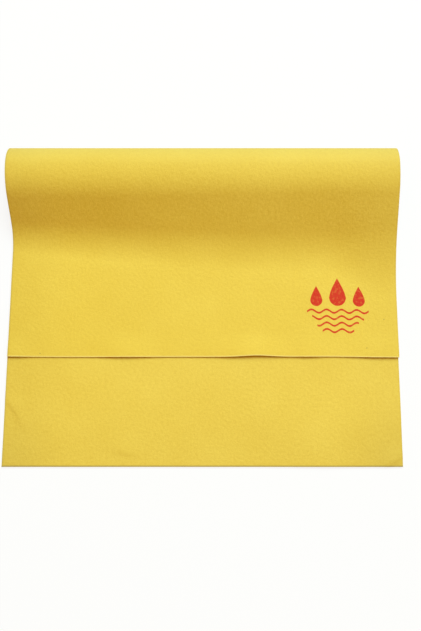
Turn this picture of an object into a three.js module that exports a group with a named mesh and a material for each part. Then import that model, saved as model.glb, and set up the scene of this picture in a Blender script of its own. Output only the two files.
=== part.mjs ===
// Car drying cloth, laid flat and folded back over itself with a loose roll at the back.
// One sheet of soft nonwoven, divided along its bend lines into strips, so that it can unfold.
// Millimetres, +Z up, the roll at +Y, both hems towards -Y, origin under the middle of the footprint.
import * as THREE from 'three';

// The sheet
const clothWidth = 500;
const clothThickness = 1.2;
const clothColour = 0xefd155;
const clothRoughness = 0.95;

// Lower layer: flat on the table from its hem to the heel of the roll
const lowerFlat = 386;

// The roll: the heel turns the sheet upright, the nape starts it back towards the hems,
// and the brow, a slacker bend, brings it level at the top of the crown
const heelRadius = 21;
const napeRadius = 22.4;
const napeTurn = THREE.MathUtils.degToRad(60);
const browRadius = 35;

// Front of the roll: the crown rounds over to the slope of a straight ramp, and a dip brings it out flat.
// It falls steeply at the left edge and gently at the right, and the sheet is ruled between them.
// The shares are the parts of the fall that the crown and the dip make; the ramp makes the rest.
const leftFront = { slope: THREE.MathUtils.degToRad(35.3), crownShare: 0.285, dipShare: 0.29 };
const rightFront = { slope: THREE.MathUtils.degToRad(23.5), crownShare: 0.17, dipShare: 0.45 };

// Upper layer: cloth from the top of the crown to its hem, and how far that cut is out of square
const upperLength = 252;
const hemSkew = 2.5;

// Lengths of the strips in front of the crown, along the cloth; the upper flap takes the rest
const crownStrip = 26;
const slopeStrip = 30;
const settleStrip = 40;

// Clearances: between the two layers, and between strips that keep their bend
const layerGap = 0.3;
const stripGap = 0.3;

// Widest turn at a hinged line, which sets the room between the strips there
const hingeTurn = THREE.MathUtils.degToRad(63);

// Places where the upper hem stands off the lower layer: x, half-width and height of each wave
const hemWaves = [
  { at: -244, spread: 20, height: 1.4 },
  { at: -99, spread: 28, height: 1.5 },
  { at: 62, spread: 38, height: 2.5 },
  { at: 135, spread: 18, height: 1.2 },
  { at: 222, spread: 36, height: 1.3 },
];
const hemWaveReach = 36;

// Facets along and across the strips
const bendRows = 3;
const frontRows = 5;
const frontColumns = 8;
const flapRows = 9;
const flapColumns = 26;

// Heights of the middle of the sheet, and the fall from the crown to the upper layer
const quarterTurn = Math.PI / 2;
const lowerLevel = clothThickness / 2;
const upperLevel = clothThickness * 1.5 + layerGap;
const browTurn = quarterTurn - napeTurn;
const rollHeight = heelRadius + napeRadius * Math.sin(napeTurn) + browRadius * (1 - Math.sin(napeTurn));
const crownFall = lowerLevel + rollHeight - upperLevel;
const rollLength = heelRadius * quarterTurn + napeRadius * napeTurn + browRadius * browTurn;
const hemAt = lowerFlat + rollLength + upperLength;
const hingeGap = clothThickness * Math.tan(hingeTurn / 2) + stripGap / 2;

// The lower hem stands as far in front of the origin as the back of the roll stands behind it
const rollBack = lowerFlat + heelRadius + clothThickness / 2;
const lowerHemY = -rollBack / 2;

// One edge of the sheet, as runs of cloth: each is a length and the angle that it turns through
function edgeRuns(x, { slope, crownShare, dipShare }) {
  const turnLength = (crownFall * slope) / (1 - Math.cos(slope));
  const rampFall = crownFall * (1 - crownShare - dipShare);
  return {
    x,
    runs: [
      { length: lowerFlat, turn: 0 },
      { length: heelRadius * quarterTurn, turn: quarterTurn },
      { length: napeRadius * napeTurn, turn: napeTurn },
      { length: browRadius * browTurn, turn: browTurn },
      { length: turnLength * crownShare, turn: slope },
      { length: rampFall / Math.sin(slope), turn: 0 },
      { length: turnLength * dipShare, turn: -slope },
      { length: Infinity, turn: 0 },
    ],
  };
}

const leftEdge = edgeRuns(-clothWidth / 2, leftFront);
const rightEdge = edgeRuns(clothWidth / 2, rightFront);

// Middle of the sheet at a distance along one edge, and the way it heads there
function walkEdge(edge, distance) {
  let y = lowerHemY;
  let z = lowerLevel;
  let heading = 0;
  let left = distance;
  for (const run of edge.runs) {
    const step = Math.min(left, run.length);
    const turned = run.turn === 0 ? 0 : (run.turn * step) / run.length;
    const chord = turned === 0 ? step : (step * Math.sin(turned / 2)) / (turned / 2);
    y += chord * Math.cos(heading + turned / 2);
    z += chord * Math.sin(heading + turned / 2);
    heading += turned;
    left -= step;
    if (left <= 0) {
      break;
    }
  }
  return { y, z, heading };
}

// Point on one edge, off the middle of the sheet towards its outer face
function edgePoint(edge, distance, offset) {
  const { y, z, heading } = walkEdge(edge, distance);
  return new THREE.Vector3(edge.x, y + offset * Math.sin(heading), z - offset * Math.cos(heading));
}

// How far the upper hem's waves lift the cloth at a place across it, fading away from the hem
function hemLift(x, fromHem) {
  const fade = 1 - THREE.MathUtils.smoothstep(fromHem, 0, hemWaveReach);
  let lift = 0;
  for (const wave of hemWaves) {
    lift += wave.height * Math.exp(-(((x - wave.at) / wave.spread) ** 2));
  }
  return lift * fade;
}

// Closed strip of the sheet, from one distance along it to another; only a hem can be out of square
function stripGeometry({ from, to, skew, rows, columns, waves }) {
  const half = clothThickness / 2;
  const across = columns + 1;
  const perFace = (rows + 1) * across;
  const positions = [];
  for (const offset of [half, -half]) {
    for (let row = 0; row <= rows; row += 1) {
      const distance = THREE.MathUtils.lerp(from, to, row / rows);
      const aslant = (skew / 2) * (row / rows);
      const leftPoint = edgePoint(leftEdge, distance + aslant, offset);
      const rightPoint = edgePoint(rightEdge, distance - aslant, offset);
      for (let column = 0; column <= columns; column += 1) {
        const point = leftPoint.clone().lerp(rightPoint, column / columns);
        if (waves) {
          point.z += hemLift(point.x, to - distance);
        }
        positions.push(point.x, point.y, point.z);
      }
    }
  }

  const triangles = [];
  const outer = (row, column) => row * across + column;
  const inner = (row, column) => perFace + row * across + column;
  const quad = (a, b, c, d) => triangles.push(a, b, c, a, c, d);
  for (let r = 0; r < rows; r += 1) {
    for (let c = 0; c < columns; c += 1) {
      quad(outer(r, c), outer(r + 1, c), outer(r + 1, c + 1), outer(r, c + 1));
      quad(inner(r, c), inner(r, c + 1), inner(r + 1, c + 1), inner(r + 1, c));
    }
    quad(outer(r, 0), inner(r, 0), inner(r + 1, 0), outer(r + 1, 0));
    quad(outer(r, columns), outer(r + 1, columns), inner(r + 1, columns), inner(r, columns));
  }
  for (let c = 0; c < columns; c += 1) {
    quad(outer(0, c), outer(0, c + 1), inner(0, c + 1), inner(0, c));
    quad(outer(rows, c), inner(rows, c), inner(rows, c + 1), outer(rows, c + 1));
  }

  const geometry = new THREE.BufferGeometry();
  geometry.setAttribute('position', new THREE.Float32BufferAttribute(positions, 3));
  geometry.setIndex(triangles);
  geometry.computeVertexNormals();
  return geometry;
}

const cloth = new THREE.Group();
cloth.name = 'car_drying_cloth';

function addStrip(name, strip) {
  const material = new THREE.MeshStandardMaterial({
    color: clothColour,
    roughness: clothRoughness,
    metalness: 0,
  });
  const mesh = new THREE.Mesh(stripGeometry(strip), material);
  mesh.name = name;
  cloth.add(mesh);
}

// Strips from the heel of the roll to the front, where the cloth settles:
// length along the cloth, facets along and across, and whether the sheet hinges at the start of the strip
const heelStrip = { length: (heelRadius * quarterTurn) / 3, rows: bendRows, columns: 1 };
const napeStrip = { length: (napeRadius * napeTurn) / 2, rows: bendRows, columns: 1 };
const browStrip = { length: browRadius * browTurn, rows: bendRows, columns: 1 };
const crownPart = { length: crownStrip, rows: frontRows, columns: frontColumns };
const slopePart = { length: slopeStrip, rows: frontRows, columns: frontColumns };
const settlePart = { length: settleStrip, rows: frontRows, columns: frontColumns };
const strips = [
  { name: 'heel_bend_1', ...heelStrip, hinged: false },
  { name: 'heel_bend_2', ...heelStrip, hinged: true },
  { name: 'heel_bend_3', ...heelStrip, hinged: false },
  { name: 'nape_bend_1', ...napeStrip, hinged: true },
  { name: 'nape_bend_2', ...napeStrip, hinged: false },
  { name: 'nape_bend_3', ...browStrip, hinged: true },
  { name: 'crown_back', ...crownPart, hinged: false },
  { name: 'crown_front', ...crownPart, hinged: true },
  { name: 'front_slope_upper', ...slopePart, hinged: true },
  { name: 'front_slope_lower', ...slopePart, hinged: false },
  { name: 'front_settle', ...settlePart, hinged: true },
];

// Half of the clearance at the start of a strip; the upper layer after the last strip is hinged too
function halfGap(strip) {
  const hinged = strip === undefined || strip.hinged;
  return hinged ? hingeGap / 2 : stripGap / 2;
}

// Lower layer
const lowerEnd = lowerFlat - halfGap(strips[0]);
addStrip('lower_panel', { from: 0, to: lowerEnd, skew: 0, rows: 1, columns: 1, waves: false });

// The roll and its front
let bendLine = lowerFlat;
strips.forEach((strip, index) => {
  const from = bendLine + halfGap(strip);
  bendLine += strip.length;
  const to = bendLine - halfGap(strips[index + 1]);
  const { name, rows, columns } = strip;
  addStrip(name, { from, to, skew: 0, rows, columns, waves: false });
});

// Upper layer, to its hem
addStrip('upper_flap', {
  from: bendLine + halfGap(),
  to: hemAt,
  skew: hemSkew,
  rows: flapRows,
  columns: flapColumns,
  waves: true,
});

export default cloth;
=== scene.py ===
import math
from functools import partial
import bpy
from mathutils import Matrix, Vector


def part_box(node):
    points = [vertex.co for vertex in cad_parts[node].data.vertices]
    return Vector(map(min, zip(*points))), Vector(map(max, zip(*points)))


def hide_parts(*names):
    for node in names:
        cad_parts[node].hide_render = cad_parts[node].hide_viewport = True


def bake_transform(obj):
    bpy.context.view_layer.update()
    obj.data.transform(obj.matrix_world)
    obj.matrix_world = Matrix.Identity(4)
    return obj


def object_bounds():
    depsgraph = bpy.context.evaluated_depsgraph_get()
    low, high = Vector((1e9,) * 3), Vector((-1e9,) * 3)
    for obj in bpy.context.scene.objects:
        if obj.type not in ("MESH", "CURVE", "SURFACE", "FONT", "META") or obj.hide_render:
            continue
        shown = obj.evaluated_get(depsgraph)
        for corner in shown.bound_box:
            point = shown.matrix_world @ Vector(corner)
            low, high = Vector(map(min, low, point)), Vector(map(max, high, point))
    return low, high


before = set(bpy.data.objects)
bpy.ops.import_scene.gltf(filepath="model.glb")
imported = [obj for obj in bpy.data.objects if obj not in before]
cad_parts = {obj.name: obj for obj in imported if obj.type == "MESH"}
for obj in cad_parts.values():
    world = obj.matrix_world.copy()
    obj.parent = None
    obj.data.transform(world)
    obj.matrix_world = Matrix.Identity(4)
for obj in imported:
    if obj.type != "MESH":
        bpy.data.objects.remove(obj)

cadLow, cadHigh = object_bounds()
scene = bpy.context.scene


def pickSocket(sockets, key):
    if isinstance(key, int):
        return sockets[key]
    return next(s for s in sockets if s.name == key and s.enabled)


class Wire:  # a socket that can stand in a sum
    def __init__(self, socket):
        self.socket = socket
        self.tree = socket.id_data

    @classmethod
    def node(cls, tree, kind, settings=None, values=None, output=0):
        made = tree.nodes.new(kind)
        for name, value in (settings or {}).items():
            setattr(made, name, value)
        for key, value in (values or {}).items():
            socket = pickSocket(made.inputs, key)
            for part in value if isinstance(value, list) else [value]:  # a list joins several links
                if isinstance(part, Wire):
                    tree.links.new(part.socket, socket)
                else:
                    socket.default_value = part
        return cls(pickSocket(made.outputs, output)) if len(made.outputs) else made

    def out(self, name):  # another output of the same node
        return Wire(pickSocket(self.socket.node.outputs, name))

    def math(self, operation, *parts):
        return Wire.node(self.tree, "ShaderNodeMath", {"operation": operation}, dict(enumerate(parts)))

    def __add__(self, other):
        return self.math("ADD", self, other)

    def __radd__(self, other):
        return self.math("ADD", other, self)

    def __sub__(self, other):
        return self.math("SUBTRACT", self, other)

    def __rsub__(self, other):
        return self.math("SUBTRACT", other, self)

    def __mul__(self, other):
        return self.math("MULTIPLY", self, other)

    def __rmul__(self, other):
        return self.math("MULTIPLY", other, self)

    def __truediv__(self, other):
        return self.math("DIVIDE", self, other)

    def __rtruediv__(self, other):
        return self.math("DIVIDE", other, self)

    def __pow__(self, other):
        return self.math("POWER", self, other)

    def __gt__(self, other):
        return self.math("GREATER_THAN", self, other)

    def __lt__(self, other):
        return self.math("LESS_THAN", self, other)

    def __neg__(self):
        return self.math("MULTIPLY", self, -1.0)

    def sin(self):
        return self.math("SINE", self)

    def cos(self):
        return self.math("COSINE", self)

    def exp(self):
        return self.math("EXPONENT", self)

    def size(self):
        return self.math("ABSOLUTE", self)

    def least(self, other):
        return self.math("MINIMUM", self, other)

    def most(self, other):
        return self.math("MAXIMUM", self, other)

    def between(self, low, high):
        return self.most(low).least(high)

    def ramp(self, low, high):  # 0 below low, 1 above high, eased between
        settings = {"interpolation_type": "SMOOTHSTEP"}
        values = {"Value": self, "From Min": low, "From Max": high}
        return Wire.node(self.tree, "ShaderNodeMapRange", settings, values)

    def bell(self, at, spread):
        off = (self - at) / spread
        return (-(off * off)).exp()

    def vector(self, operation, other):  # sums of vectors
        values = {0: self, "Scale" if operation == "SCALE" else 1: other}
        return Wire.node(self.tree, "ShaderNodeVectorMath", {"operation": operation}, values)


def mixKind(kind, factor, first, second):
    values = {"Factor": factor, "A": first, "B": second}
    return Wire.node(factor.tree, "ShaderNodeMix", {"data_type": kind}, values, "Result")


mixNumber = partial(mixKind, "FLOAT")
mixColour = partial(mixKind, "RGBA")


def joinXyz(x, y, z):
    return Wire.node(x.tree, "ShaderNodeCombineXYZ", {}, {"X": x, "Y": y, "Z": z})


def linear(red, green, blue):  # a colour as a paint program writes it, made linear
    parts = [c / 255 for c in (red, green, blue)]
    return tuple(c / 12.92 if c <= 0.04045 else ((c + 0.055) / 1.055) ** 2.4 for c in parts) + (1.0,)


def emptyTree(owner):  # the nodes of a material or world, cleared
    owner.use_nodes = True
    owner.node_tree.nodes.clear()
    return owner.node_tree


# Camera: above the cloth and a little in front of it
cameraPlace = {
    "at": (0.0263, -0.1275, 0.7682),
    "tilt": 8.48,  # degrees from straight down
    "lens": 34.23,
    "sensor": 36.0,
    "shift": -0.0204,
}
cameraData = bpy.data.cameras.new("photoCamera")
cameraData.lens = cameraPlace["lens"]
cameraData.sensor_width = cameraPlace["sensor"]
cameraData.shift_x = cameraPlace["shift"]
camera = bpy.data.objects.new("photoCamera", cameraData)
camera.location = cameraPlace["at"]
camera.rotation_euler = (math.radians(cameraPlace["tilt"]), 0.0, 0.0)
scene.collection.objects.link(camera)
scene.camera = camera
print("camera set")

# Light: a dim warm room and one large cool lamp behind the cloth, which even out where both fall
studio = {
    "room": (1.0, 0.49, 0.05, 1.0),
    "roomLevel": 0.44,
    "lampColour": (0.65, 0.915, 1.0),
    "lampPower": 628.0,
    "lampAt": (1.71, 4.10, 4.85),
    "lampSize": 6.0,
    "white": (1.0, 1.0, 1.0, 1.0),  # the background that the camera sees
    "floorDrop": 0.0002,
    "floorHalf": 3.0,
    "floorColour": (0.94, 0.94, 0.94, 1.0),
    "floorBounce": (0.45, 0.45, 0.45, 1.0),  # it throws back duller light, so the roll's back stays calm
    "shadowShare": 0.16,  # how much of the floor's shade the camera sees
}


def seenRay(tree):  # 1 on the camera's rays, straight, in gloss or through glass
    path = Wire.node(tree, "ShaderNodeLightPath", output="Is Camera Ray")
    return path.most(path.out("Is Glossy Ray")).most(path.out("Is Transmission Ray"))


def studioRoom():
    world = bpy.data.worlds.new("studioRoom")
    tree = emptyTree(world)
    add = partial(Wire.node, tree)
    light = add("ShaderNodeBackground", {}, {"Color": studio["room"], "Strength": studio["roomLevel"]})
    backdrop = add("ShaderNodeBackground", {}, {"Color": studio["white"], "Strength": 1.0})
    mixed = add("ShaderNodeMixShader", {}, {0: seenRay(tree), 1: light, 2: backdrop})
    add("ShaderNodeOutputWorld", {}, {"Surface": mixed})
    return world


def floorFinish():
    finish = bpy.data.materials.new("paleFloor")
    tree = emptyTree(finish)
    add = partial(Wire.node, tree)
    seen = seenRay(tree)
    tone = mixColour(seen, studio["floorBounce"], studio["floorColour"])
    shaded = add("ShaderNodeBsdfDiffuse", {}, {"Color": tone})
    white = add("ShaderNodeEmission", {}, {"Color": studio["white"], "Strength": 1.0})
    mixed = add("ShaderNodeMixShader", {}, {0: seen * (1 - studio["shadowShare"]), 1: shaded, 2: white})
    add("ShaderNodeOutputMaterial", {}, {"Surface": mixed})
    return finish


scene.world = studioRoom()
scene.view_settings.view_transform = "Standard"

lampData = bpy.data.lights.new("backLamp", "AREA")
lampData.energy = studio["lampPower"]
lampData.color = studio["lampColour"]
lampData.shape = "DISK"
lampData.size = studio["lampSize"]
lamp = bpy.data.objects.new("backLamp", lampData)
lamp.location = studio["lampAt"]
lamp.rotation_euler = Vector(studio["lampAt"]).to_track_quat("Z", "Y").to_euler()
scene.collection.objects.link(lamp)

half = studio["floorHalf"]
drop = -studio["floorDrop"]
floorCorners = [(-half, -half, drop), (half, -half, drop), (half, half, drop), (-half, half, drop)]
floorMesh = bpy.data.meshes.new("floor")
floorMesh.from_pydata(floorCorners, [], [(0, 1, 2, 3)])
floorMesh.materials.append(floorFinish())
floor = bpy.data.objects.new("floor", floorMesh)
scene.collection.objects.link(floor)
print("studio set")

# The sheet: cut size, the rule of its fold, and what handling left in it
lowerLow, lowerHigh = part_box("lower_panel")
sheet = {
    "width": cadHigh.x - cadLow.x,
    "thickness": lowerHigh.z - lowerLow.z,
    "cell": 0.0022,
    "heelRadius": 0.021,  # turns the sheet upright
    "napeRadius": 0.0224,  # starts it back over itself
    "napeTurn": math.radians(60),
    "browRadius": 0.035,  # brings it level at the top of the crown
    "leftSlope": math.radians(35.3),  # of the ramp down the front, at each edge
    "leftCrownShare": 0.285,  # how much of the fall the crown and the dip make there
    "leftDipShare": 0.29,
    "rightSlope": math.radians(23.5),
    "rightCrownShare": 0.17,
    "rightDipShare": 0.45,
    "cornerStart": 0.8,  # share of the width past which the dip slackens
    "cornerShare": 0.26,  # how much of the slope's easing waits for that corner
    "crownStrip": 0.026,  # between bend lines: two on the crown, two on the slope, one where it settles
    "slopeStrip": 0.030,
    "settleStrip": 0.040,
    "upperLength": 0.252,  # from the top of the crown to the hem
    "layerGap": 0.0003,
    "slip": 0.0006,  # the upper layer lies a little to the right
    "hemSkew": 0.0025,  # its left edge is cut that much longer
    "hemBack": 0.0015,  # it lies that slack before its hem
    "hemDrawn": [  # and draws back more in places: place, spread and how far
        (0.069, 0.024, 0.0016),
        (-0.180, 0.080, -0.0005),
    ],
    "hemWaves": [  # where the hem stands off: place, spread and height
        (-0.244, 0.020, 0.0014),
        (-0.099, 0.028, 0.0015),
        (0.062, 0.038, 0.0025),
        (0.135, 0.018, 0.0012),
        (0.222, 0.036, 0.0013),
    ],
    "hemReach": 0.036,  # how far the waves run back from the hem
    "cornerLift": 0.0005,  # the right corner of the hem stands off
    "liftAcross": (0.82, 1.0),  # from where to where it rises, in shares of the width
    "liftBack": (0.01, 0.08),  # and from where to where it fades behind the hem
    "creases": [  # small ridges: middle, turn, length, steep side, easy side, height
        ((-0.2410, -0.1290), -52.0, 0.013, 0.0028, 0.012, 0.0010),
        ((-0.2285, -0.1490), -62.0, 0.012, 0.0030, 0.010, 0.0005),
        ((0.2390, -0.1960), 31.0, 0.013, 0.0035, 0.014, 0.0012),
        ((-0.0970, -0.1860), -13.0, 0.017, 0.0032, 0.014, 0.0006),
        ((0.1800, -0.1550), 38.0, 0.075, 0.0450, 0.045, 0.0022),
    ],
    "swaySize": 11.0,  # swells to the metre
    "swayHeight": 0.0006,
    "swayDetail": 1.5,
    "swayRange": (0.35, 0.75),  # the noise that makes no swell, and a full one
    "swayFade": 0.03,  # they end that far before the heel
    "seed": 4.7,
    "sharpAngle": 1.0,  # edges that turn more than this are the cut's
    "weld": 1e-6,
}
quarter = math.pi / 2
lowerFlat = cadHigh.y - sheet["thickness"] / 2 - sheet["heelRadius"] - cadLow.y
heelStep = sheet["heelRadius"] * quarter / 3
napeStep = sheet["napeRadius"] * sheet["napeTurn"] / 2
browStep = sheet["browRadius"] * (quarter - sheet["napeTurn"])
napeAt = lowerFlat + 3 * heelStep
crownAt = napeAt + 2 * napeStep + browStep
slopeAt = crownAt + 2 * sheet["crownStrip"]
settleAt = slopeAt + 2 * sheet["slopeStrip"]
flapAt = settleAt + sheet["settleStrip"]
sheetLength = crownAt + sheet["upperLength"]
rows = round(sheetLength / sheet["cell"])
columns = round(sheet["width"] / sheet["cell"])
rowStep = sheetLength / rows

# Strips of the sheet, from the middle of one body to the middle of the next, so each spans one joint
seams = [
    0.0,
    lowerFlat + 2 * heelStep,
    napeAt + napeStep,
    crownAt,
    slopeAt - sheet["crownStrip"] / 2,
    slopeAt + sheet["slopeStrip"],
    settleAt + sheet["settleStrip"] / 2,
    sheetLength,
]
seamRows = [round(s / rowStep) for s in seams]
strips = [  # name, the two bodies, the CAD nodes it stands for, what it lies on
    ("lower_layer", "lower_panel", "heel", ["lower_panel", "heel_bend_1", "heel_bend_2"], "floor"),
    ("roll_heel", "heel", "nape", ["heel_bend_3", "nape_bend_1"], "lower_layer"),
    ("roll_nape", "nape", "crown", ["nape_bend_2", "nape_bend_3"], "roll_heel"),
    ("roll_crown", "crown", "crown_front", ["crown_back"], "roll_nape"),
    ("front_fall", "crown_front", "front_slope", ["crown_front", "front_slope_upper"], "roll_crown"),
    ("front_dip", "front_slope", "front_settle", ["front_slope_lower"], "lower_layer"),
    ("upper_layer", "front_settle", "upper_flap", ["front_settle", "upper_flap"], "lower_layer"),
]
foldSizes = {  # named inputs of the node tree, the same for every strip
    "Width": sheet["width"], "Length": sheetLength, "Thickness": sheet["thickness"],
    "Hem Y": cadLow.y, "Lower Flat": lowerFlat, "Heel Radius": sheet["heelRadius"],
    "Nape Radius": sheet["napeRadius"], "Nape Turn": sheet["napeTurn"], "Brow Radius": sheet["browRadius"],
    "Left Slope": sheet["leftSlope"], "Right Slope": sheet["rightSlope"],
    "Left Crown Share": sheet["leftCrownShare"], "Right Crown Share": sheet["rightCrownShare"],
    "Left Dip Share": sheet["leftDipShare"], "Right Dip Share": sheet["rightDipShare"],
    "Corner Start": sheet["cornerStart"], "Corner Share": sheet["cornerShare"],
    "Layer Gap": sheet["layerGap"], "Slip": sheet["slip"],
    "Hem Skew": sheet["hemSkew"], "Skew Start": seamRows[-2] * rowStep,
    "Hem Back": sheet["hemBack"], "Hem Reach": sheet["hemReach"], "Corner Lift": sheet["cornerLift"],
    "Sway Size": sheet["swaySize"], "Sway Height": sheet["swayHeight"], "Seed": sheet["seed"],
}
foldCounts = {"Rows": rows + 1, "Columns": columns + 1}


def store(shape, name, dataType, domain, value):
    settings = {"data_type": dataType, "domain": domain}
    values = {"Geometry": shape, "Name": name, "Value": value}
    return Wire.node(shape.tree, "GeometryNodeStoreNamedAttribute", settings, values)


def recall(tree, name, dataType):
    settings = {"data_type": dataType}
    return Wire.node(tree, "GeometryNodeInputNamedAttribute", settings, {"Name": name}, "Attribute")


def follow(along, place, runs):  # walks runs of cloth: how long each is, and the radius of its turn
    y, z, heading, start = place
    for span, radius in runs:
        gone = (along - start).between(0.0, span)
        if radius is None:  # straight on
            y = y + gone * heading.cos()
            z = z + gone * heading.sin()
        else:
            turned = heading + gone / radius
            y = y + radius * (turned.sin() - heading.sin())
            z = z + radius * (heading.cos() - turned.cos())
            heading = heading + span / radius
        start = start + span
    return y, z, heading, start


def foldProfile(given, across, along):  # depth and height of the sheet, and where crown and flap start
    length, thick = given("Length"), given("Thickness")
    heel, nape, brow = given("Heel Radius"), given("Nape Radius"), given("Brow Radius")
    napeTurn = given("Nape Turn")
    level = Wire.node(along.tree, "ShaderNodeValue")  # a heading of nought
    rollRuns = [
        (given("Lower Flat"), None),
        (heel * quarter, heel),
        (nape * napeTurn, nape),
        (brow * (quarter - napeTurn), brow),
    ]
    roll = follow(along, (given("Hem Y"), thick * 0.5, level, level), rollRuns)
    fall = heel + nape * napeTurn.sin() + brow * (1 - napeTurn.sin()) - thick - given("Layer Gap")

    # the front: crown, ramp, dip, and flat to the hem; it eases off to the right, and most in the corner
    ease = 1 - (1 - across) * (1 - across)
    corner = across.ramp(given("Corner Start"), 1.0)
    easing = ease + (corner - ease) * given("Corner Share")
    slope = mixNumber(easing, given("Left Slope"), given("Right Slope"))
    crownShare = mixNumber(across, given("Left Crown Share"), given("Right Crown Share"))
    dipShare = mixNumber(corner, given("Left Dip Share"), given("Right Dip Share"))
    radius = fall / (1 - slope.cos())
    crown, dip = radius * crownShare, radius * dipShare
    ramp = fall * (1 - crownShare - dipShare) / slope.sin()
    frontRuns = [(crown * slope, crown), (ramp, None), (dip * slope, -dip), (length, None)]
    y, z, _, end = follow(along, roll, frontRuns)
    return y, z, roll[3], end - length


def swells(given, x, y):
    place = joinXyz(x, y, given("Seed"))
    values = {"Vector": place, "Scale": given("Sway Size"), "Detail": sheet["swayDetail"]}
    noise = Wire.node(x.tree, "ShaderNodeTexNoise", {}, values, "Fac")
    return given("Sway Height") * noise.ramp(*sheet["swayRange"])


def creaseRidges(x, y):
    ridges = 0.0
    for (creaseX, creaseY), angle, reach, steep, easy, height in sheet["creases"]:
        c, s = math.cos(math.radians(angle)), math.sin(math.radians(angle))
        ahead = (x - creaseX) * c + (y - creaseY) * s
        aside = (y - creaseY) * c - (x - creaseX) * s
        breadth = steep + (aside > 0.0) * (easy - steep)
        ridges = ridges + ahead.bell(0.0, reach) * aside.bell(0.0, breadth) * height
    return ridges


def humps(x, places):  # a sum of bells across the cloth
    total = 0.0
    for at, spread, height in places:
        total = total + x.bell(at, spread) * height
    return total


def foldSheet(given, flat, x, run):  # lays the flat sheet along the fold
    length = given("Length")
    across = x / given("Width") + 0.5
    skewed = ((run - given("Skew Start")) / (length - given("Skew Start"))).between(0.0, 1.0)
    along = run - given("Hem Skew") * (across - 0.5) * skewed
    y, z, crownStart, flapStart = foldProfile(given, across, along)

    # both layers rise together over soft swells, and the lower one never sinks into the table
    upper = along.ramp(crownStart, flapStart)
    heelStart = given("Lower Flat")
    resting = (1 - along.ramp(heelStart - sheet["swayFade"], heelStart)) + upper
    lift = swells(given, x, y) * resting + creaseRidges(x, y) * (1 - upper)

    # the upper hem stands off in waves and at its right corner, and draws back
    fromHem = length - run
    nearHem = 1 - fromHem.ramp(0.0, given("Hem Reach"))
    nearCorner = across.ramp(*sheet["liftAcross"]) * (1 - fromHem.ramp(*sheet["liftBack"]))
    lift = lift + humps(x, sheet["hemWaves"]) * nearHem + given("Corner Lift") * nearCorner
    drawn = (given("Hem Back") + humps(x, sheet["hemDrawn"])) * nearHem
    place = joinXyz(x + given("Slip") * upper, y + drawn, z + lift)
    return Wire.node(flat.tree, "GeometryNodeSetPosition", {}, {"Geometry": flat, "Position": place})


def cutStrip(given, folded):  # one strip of it, thickened: an outer face, an inner face and a cut edge
    tree = folded.tree
    add = partial(Wire.node, tree)
    thick = given("Thickness")
    here = recall(tree, "run", "FLOAT")
    middle, normal = (recall(tree, name, "FLOAT_VECTOR") for name in ("sheetMiddle", "sheetNormal"))
    inside = (here > given("From")) * (here < given("To"))
    values = {"Geometry": folded, "Selection": inside}
    strip = add("GeometryNodeSeparateGeometry", {"domain": "FACE"}, values)

    values = {"Mesh": strip, "Offset": normal, "Offset Scale": thick, "Individual": False}
    over = add("GeometryNodeExtrudeMesh", {"mode": "FACES"}, values, "Mesh")
    top = over.out("Top")
    over = store(over, "side", "FLOAT", "FACE", top)
    place = middle.vector("ADD", normal.vector("SCALE", thick * (top - 0.5)))
    over = add("GeometryNodeSetPosition", {}, {"Geometry": over, "Position": place})

    under = add("GeometryNodeFlipFaces", {}, {"Mesh": strip})
    under = store(under, "side", "FLOAT", "FACE", -1.0)
    place = middle.vector("SUBTRACT", normal.vector("SCALE", thick * 0.5))
    under = add("GeometryNodeSetPosition", {}, {"Geometry": under, "Position": place})

    whole = add("GeometryNodeJoinGeometry", {}, {"Geometry": [over, under]})
    return add("GeometryNodeMergeByDistance", {}, {"Geometry": whole, "Distance": sheet["weld"]})


def sheetNormals(whole):  # faces keep the whole sheet's normals, so no seam shows; the cut edge is sharp
    tree = whole.tree
    add = partial(Wire.node, tree)
    whole = add("GeometryNodeSetShadeSmooth", {"domain": "FACE"}, {"Geometry": whole, "Shade Smooth": True})
    bend = add("GeometryNodeInputMeshEdgeAngle", {}, {}, "Unsigned Angle")
    values = {"Geometry": whole, "Selection": bend > sheet["sharpAngle"], "Shade Smooth": False}
    whole = add("GeometryNodeSetShadeSmooth", {"domain": "EDGE"}, values)
    side = recall(tree, "side", "FLOAT")
    cutEdge = add("GeometryNodeInputNormal").vector("SCALE", 1 - side.size())
    wanted = recall(tree, "sheetNormal", "FLOAT_VECTOR").vector("SCALE", side).vector("ADD", cutEdge)
    values = {"Mesh": whole, "Custom Normal": wanted}
    return add("GeometryNodeSetMeshNormal", {"mode": "TANGENT_SPACE"}, values)


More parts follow.
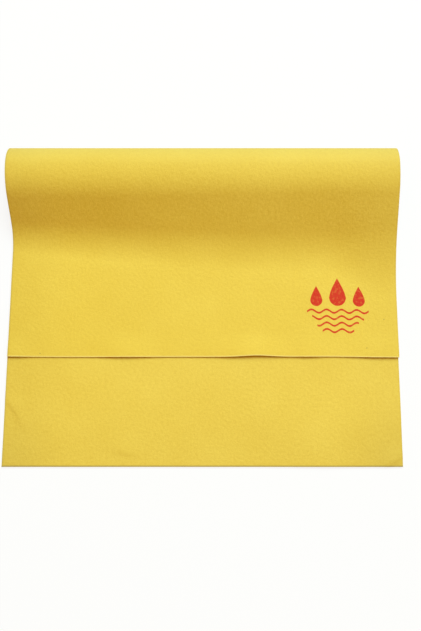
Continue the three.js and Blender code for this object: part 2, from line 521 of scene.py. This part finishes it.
def foldTree():
    tree = bpy.data.node_groups.new("foldedSheet", "GeometryNodeTree")
    tree.interface.new_socket(name="Geometry", in_out="OUTPUT", socket_type="NodeSocketGeometry")
    inputs = [(name, "NodeSocketFloat") for name in [*foldSizes, "From", "To"]]
    inputs += [(name, "NodeSocketInt") for name in foldCounts]
    inputs.append(("Material", "NodeSocketMaterial"))
    for name, kind in inputs:
        tree.interface.new_socket(name=name, in_out="INPUT", socket_type=kind)
    add = partial(Wire.node, tree)
    given = add("NodeGroupInput").out

    # flat sheet, with its own measures kept as a UV map in metres
    width, length = given("Width"), given("Length")
    sizes = {"Size X": width, "Size Y": length, "Vertices X": given("Columns"), "Vertices Y": given("Rows")}
    flat = add("GeometryNodeMeshGrid", {}, sizes)
    x = add("ShaderNodeSeparateXYZ", {}, {0: add("GeometryNodeInputPosition")})
    run = x.out("Y") + length * 0.5
    flat = store(flat, "clothFlat", "FLOAT2", "CORNER", joinXyz(x + width * 0.5, run, 0.0))
    flat = store(flat, "run", "FLOAT", "POINT", run)

    whole = foldSheet(given, flat, x, run)
    whole = store(whole, "sheetMiddle", "FLOAT_VECTOR", "POINT", add("GeometryNodeInputPosition"))
    whole = store(whole, "sheetNormal", "FLOAT_VECTOR", "POINT", add("GeometryNodeInputNormal"))
    whole = sheetNormals(cutStrip(given, whole))
    for name in ("run", "sheetMiddle", "sheetNormal"):
        whole = add("GeometryNodeRemoveAttribute", {}, {"Geometry": whole, "Name": name})
    whole = add("GeometryNodeRealizeInstances", {}, {"Geometry": whole})
    whole = add("GeometryNodeSetMaterial", {}, {"Geometry": whole, "Material": given("Material")})
    add("NodeGroupOutput", {}, {"Geometry": whole})
    return tree


# Finish: a needled nonwoven, pebbled, faintly mottled and pricked with needle marks
clothFinish = {
    "yellow": linear(243, 211, 75),
    "deep": linear(230, 193, 47),
    "pebbles": 250.0,  # to the metre, as are the next four
    "clouds": 13.0,
    "fibres": 420.0,
    "swirls": 60.0,
    "needles": 900.0,
    "cloudDetail": 3.0,
    "fibreStretch": (3.2, 0.5),  # across a fibre and along it
    "fibreRoughness": 0.6,
    "swirlShift": 0.004,  # how far the swirls bend the fibres
    "pebbleShare": 0.6,  # how much each of them shows
    "cloudShare": 0.6,
    "fibreShare": 0.55,
    "fibreMiddle": 0.58,
    "innerNap": 0.4,  # the pebbles stand out more on the inner face; down the front of the roll they stand out more still, as painted shade of light raking the nap
    "frontRakingShade": 1.0,
    "frontMiddle": 0.055,
    "frontSpread": 0.045,
    "pit": linear(205, 156, 24),  # needle marks
    "pitRange": (0.06, 0.3),
    "pitShare": 0.4,
    "pale": linear(240, 222, 165),  # the inner face is a little paler
    "paleShare": 0.035,
    "paintedCrownShade": linear(150, 140, 90),  # painted shade: a duller band over the bend that dims the lit top of the crown
    "paintedCrownShadeShare": 0.27,
    "paintedCrownShadeBack": 0.027,  # middle of that band, behind the top of the crown
    "paintedCrownShadeSpread": 0.021,
    "fleck": linear(120, 84, 40),  # lint on the upper layer
    "flecks": [(0.2325, 0.0510), (0.2090, 0.0122), (-0.2085, 0.0045)],  # across, from the hem
    "fleckSize": 0.0008,
    "fleckShare": 0.7,
    "edge": linear(160, 138, 66),  # painted shade along the cut rim, most along the lower hem
    "edgeShadeRange": (0.0004, 0.0030),
    "hemRim": 0.75,
    "leftRim": 0.3,
    "rightRim": 0.05,
    "paintedHemHighlight": linear(255, 232, 140),  # painted highlight along the upper hem
    "hemHighlightRange": (0.0008, 0.0018),
    "hemHighlightShare": 0.55,
    "paintedFalloff": (0.0, 0.0, 0.0, 1.0),  # painted shade, towards the sides and the lower hem
    "falloffReach": 0.09,
    "leftFalloff": 0.055,
    "rightFalloff": 0.035,
    "hemFalloff": 0.03,
    "cornerFalloff": 0.06,
    "middle": 0.1,  # half of the width over which the left side passes into the right one
    "roughness": 0.75,  # a soft synthetic sheen
    "pebbleRoughness": 0.15,
    "sheen": 0.05,
    "specular": 0.7,
    "bumpStrength": 0.7,
    "bumpDistance": 0.0007,
    "pebbleHeight": 0.6,  # shares of that distance
    "fibreHeight": 0.3,
    "cloudHeight": 0.2,
    "pitDepth": 0.25,
}

# Print: one red ink on the outer face of the upper layer, three drops over four ripples
printMark = {
    "ink": linear(212, 24, 6),
    "across": 0.1735,
    "fromHem": 0.0673,
    "bleed": 0.00035,
    "rags": 1500.0,  # to the metre, along its edges
    "ragDepth": 0.0006,
    "cover": 0.98,
    "dryShare": 0.15,  # what the pits and the gaps between pebbles lack of it
    "dryRange": (0.3, 0.5),
    "roughness": 0.2,  # it dries dull
    "drops": [  # place across and up, radius, height of the tip
        (-0.0275, 0.0080, 0.0080, 0.0190),
        (0.0, 0.0115, 0.0110, 0.0260),
        (0.0275, 0.0080, 0.0080, 0.0190),
    ],
    "dropWaist": 0.35,
    "ripples": [  # height, half length
        (-0.0065, 0.0400),
        (-0.0150, 0.0335),
        (-0.0235, 0.0270),
        (-0.0320, 0.0205),
    ],
    "rippleWave": 0.0195,
    "rippleHeight": 0.0022,
    "rippleStroke": 0.0029,
}


def grain(place, scale, detail=2.0, roughness=0.55):
    values = {"Vector": place, "Scale": scale, "Detail": detail, "Roughness": roughness}
    return Wire.node(place.tree, "ShaderNodeTexNoise", {"noise_dimensions": "2D"}, values, "Fac")


def feltGrain(flat):  # pebbles, soft clouds, short fibres lying both ways, needle marks
    pebble = grain(flat, clothFinish["pebbles"])
    cloud = grain(flat, clothFinish["clouds"], clothFinish["cloudDetail"])
    swirl = grain(flat, clothFinish["swirls"])
    bent = flat.vector("ADD", swirl.vector("SCALE", clothFinish["swirlShift"]))
    wide, long = clothFinish["fibreStretch"]
    fibre = 0.0
    for stretch in ((wide, long, 1.0), (long, wide, 1.0)):
        strands = bent.vector("MULTIPLY", stretch)
        fibre = grain(strands, clothFinish["fibres"], roughness=clothFinish["fibreRoughness"]).most(fibre)
    values = {"Vector": flat, "Scale": clothFinish["needles"]}
    needle = Wire.node(flat.tree, "ShaderNodeTexVoronoi", {"voronoi_dimensions": "2D"}, values, "Distance")
    pit = 1 - needle.ramp(*clothFinish["pitRange"])
    return pebble, cloud, fibre, pit


def printShape(flat, across, fromHem):  # 1 inside the drops and ripples
    printX, printY = across - printMark["across"], fromHem - printMark["fromHem"]
    bleed = printMark["bleed"]
    ragged = (grain(flat, printMark["rags"]) - 0.5) * printMark["ragDepth"]
    shape = 0.0
    for dropX, dropY, radius, tip in printMark["drops"]:
        up = printY - dropY
        taper = (up / tip).between(0.0, 1.0)
        low = up.least(0.0)
        belly = (radius * radius - low * low).most(0.0) ** 0.5
        halfWidth = belly * (1 - taper * taper) * (1 - taper * printMark["dropWaist"])
        shape = (halfWidth + ragged - (printX - dropX).size()).ramp(0.0, bleed).most(shape)
    wave = (printX * (2 * math.pi / printMark["rippleWave"])).sin() * printMark["rippleHeight"]
    for height, reach in printMark["ripples"]:
        stroke = printMark["rippleStroke"] / 2 + ragged - (printY - height - wave).size()
        shape = (stroke.ramp(0.0, bleed) * (reach - printX.size()).ramp(0.0, bleed)).most(shape)
    return shape


def clothMaterial():
    finish = bpy.data.materials.new("yellowNonwoven")
    add = partial(Wire.node, emptyTree(finish))
    flat = add("ShaderNodeUVMap", {"uv_map": "clothFlat"})
    spot = add("ShaderNodeSeparateXYZ", {}, {0: flat})
    across, run = spot - sheet["width"] / 2, spot.out("Y")
    fromHem = sheetLength - run
    toSide = sheet["width"] / 2 - across.size()
    rightward = across.ramp(-clothFinish["middle"], clothFinish["middle"])
    side = add("ShaderNodeAttribute", {"attribute_name": "side"}, {}, "Fac")
    outer = side < -0.5  # the face that shows on the roll and the upper layer

    # the felted body
    pebble, cloud, fibre, pit = feltGrain(flat)
    # down the front of the roll the grain's contrast is raised: painted shade of light raking the nap
    rakingFront = run.bell(crownAt + clothFinish["frontMiddle"], clothFinish["frontSpread"]) * outer
    napAndPaintedShade = 1 + (1 - outer) * clothFinish["innerNap"] + rakingFront * clothFinish["frontRakingShade"]
    fine = (pebble - 0.5) * clothFinish["pebbleShare"]
    fine = fine + (fibre - clothFinish["fibreMiddle"]) * clothFinish["fibreShare"]
    tone = 0.5 + (cloud - 0.5) * clothFinish["cloudShare"] + fine * napAndPaintedShade
    colour = mixColour(tone.between(0.0, 1.0), clothFinish["deep"], clothFinish["yellow"])
    colour = mixColour(pit * clothFinish["pitShare"], colour, clothFinish["pit"])
    colour = mixColour((1 - outer) * clothFinish["paleShare"], colour, clothFinish["pale"])
    # painted shade: a duller band over the bend, behind the top of the crown, dims the lit crown
    paintedCrownShade = run.bell(crownAt - clothFinish["paintedCrownShadeBack"], clothFinish["paintedCrownShadeSpread"]) * outer
    colour = mixColour(paintedCrownShade * clothFinish["paintedCrownShadeShare"], colour, clothFinish["paintedCrownShade"])

    # lint
    lint = 0.0
    for fleckX, fleckUp in clothFinish["flecks"]:
        offX, offRun = across - fleckX, fromHem - fleckUp
        lint = lint + 1 - (offX * offX + offRun * offRun).ramp(0.0, clothFinish["fleckSize"] ** 2)
    colour = mixColour((lint * outer).between(0.0, clothFinish["fleckShare"]), colour, clothFinish["fleck"])

    # painted shade along the cut rim, a painted highlight along the upper hem, and painted shade towards
    # the sides and the lower hem
    hemRim, sideRim = (1 - off.ramp(*clothFinish["edgeShadeRange"]) for off in (run, toSide))
    sideShare = mixNumber(rightward, clothFinish["leftRim"], clothFinish["rightRim"])
    rimShade = (hemRim * clothFinish["hemRim"]).most(sideRim * sideShare)
    colour = mixColour(rimShade, colour, clothFinish["edge"])
    # painted highlight: a pale line along the upper hem
    paintedHemHighlight = (1 - fromHem.ramp(*clothFinish["hemHighlightRange"])) * clothFinish["hemHighlightShare"]
    colour = mixColour(paintedHemHighlight, colour, clothFinish["paintedHemHighlight"])
    # painted shade: black mixed in towards the sides and the lower hem, more on the left and in the lower
    # corners
    nearHem, nearSide = (1 - off.ramp(0.0, clothFinish["falloffReach"]) for off in (run, toSide))
    paintedFalloff = nearSide * mixNumber(rightward, clothFinish["leftFalloff"], clothFinish["rightFalloff"])
    paintedFalloff = paintedFalloff + nearHem * clothFinish["hemFalloff"] + nearSide * nearHem * clothFinish["cornerFalloff"]
    colour = mixColour(paintedFalloff, colour, clothFinish["paintedFalloff"])
    # the cut edge's own faces take the same painted edge shade
    colour = mixColour(1 - side.size(), colour, clothFinish["edge"])

    # the print soaks in a little, so the pebbles show through it
    dry = (1 - pebble.ramp(*printMark["dryRange"]) + pit) * printMark["dryShare"]
    ink = printShape(flat, across, fromHem) * outer * (printMark["cover"] - dry)
    colour = mixColour(ink, colour, printMark["ink"])

    height = pebble * clothFinish["pebbleHeight"] + fibre * clothFinish["fibreHeight"]
    height = height + cloud * clothFinish["cloudHeight"] - pit * clothFinish["pitDepth"]
    bumps = {
        "Strength": clothFinish["bumpStrength"], "Distance": clothFinish["bumpDistance"], "Height": height,
    }
    roughness = clothFinish["roughness"] + ink * printMark["roughness"]
    surface = {
        "Base Color": colour,
        "Roughness": roughness + (pebble - 0.5) * clothFinish["pebbleRoughness"],
        "Normal": add("ShaderNodeBump", {}, bumps, "Normal"),
        "Sheen Weight": clothFinish["sheen"],
        "Specular IOR Level": clothFinish["specular"],
    }
    add("ShaderNodeOutputMaterial", {}, {"Surface": add("ShaderNodeBsdfPrincipled", {}, surface)})
    return finish


fold = foldTree()
foldSockets = {item.name: item.identifier for item in fold.interface.items_tree if item.in_out == "INPUT"}
foldValues = {**foldSizes, **foldCounts, "Material": clothMaterial()}
print("fold and finish made")


def makeStrip(name, fromRow, toRow):
    piece = bpy.data.objects.new(name, bpy.data.meshes.new(name + "_start"))
    scene.collection.objects.link(piece)
    folding = piece.modifiers.new("fold", "NODES")
    folding.node_group = fold
    span = {"From": fromRow * rowStep, "To": toRow * rowStep}
    for label, value in {**foldValues, **span}.items():
        folding[foldSockets[label]] = value
    graph = bpy.context.evaluated_depsgraph_get()
    folded = piece.evaluated_get(graph)
    made = bpy.data.meshes.new_from_object(folded, preserve_all_data_layers=True, depsgraph=graph)
    piece.modifiers.clear()
    made.materials.pop(index=0)  # Set Material leaves an empty slot in front
    piece.data = made
    made.name = name
    return piece


def rowPoints(piece, row):  # the strip's points at one row of the flat sheet
    flatSpots = piece.data.uv_layers["clothFlat"].data
    found = set()
    for loop in piece.data.loops:
        if abs(flatSpots[loop.index].uv.y - row * rowStep) < rowStep / 4:
            found.add(loop.vertex_index)
    return [piece.data.vertices[i].co for i in found]


def bendSpan(piece, fromRow, toRow):  # starts past all of the first row and ends before any of the last
    first, last = rowPoints(piece, fromRow), rowPoints(piece, toRow)
    origin = sum(first, Vector()) / len(first)
    way = (sum(last, Vector()) / len(last) - origin).normalized()
    start = max((p - origin).dot(way) for p in first)
    end = min((p - origin).dot(way) for p in last)
    return origin + way * start, origin + way * end


bendRows = list(zip(seamRows, seamRows[1:]))
bendRows[0] = (round(lowerFlat / rowStep), seamRows[1])  # the lower layer is stiff up to the heel
stiffFrom = flapAt + sheet["settleStrip"] / 2
bendRows[-1] = (seamRows[-2], round(stiffFrom / rowStep))  # and the upper one past its last bend line
for index, (name, bodyBefore, bodyAfter, nodes, under) in enumerate(strips):
    piece = makeStrip(name, seamRows[index], seamRows[index + 1])
    bendStart, bendEnd = bendSpan(piece, *bendRows[index])
    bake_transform(piece)
    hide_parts(*nodes)
    flatSpan = (seamRows[index + 1] - seamRows[index]) * rowStep
print("sheet folded")
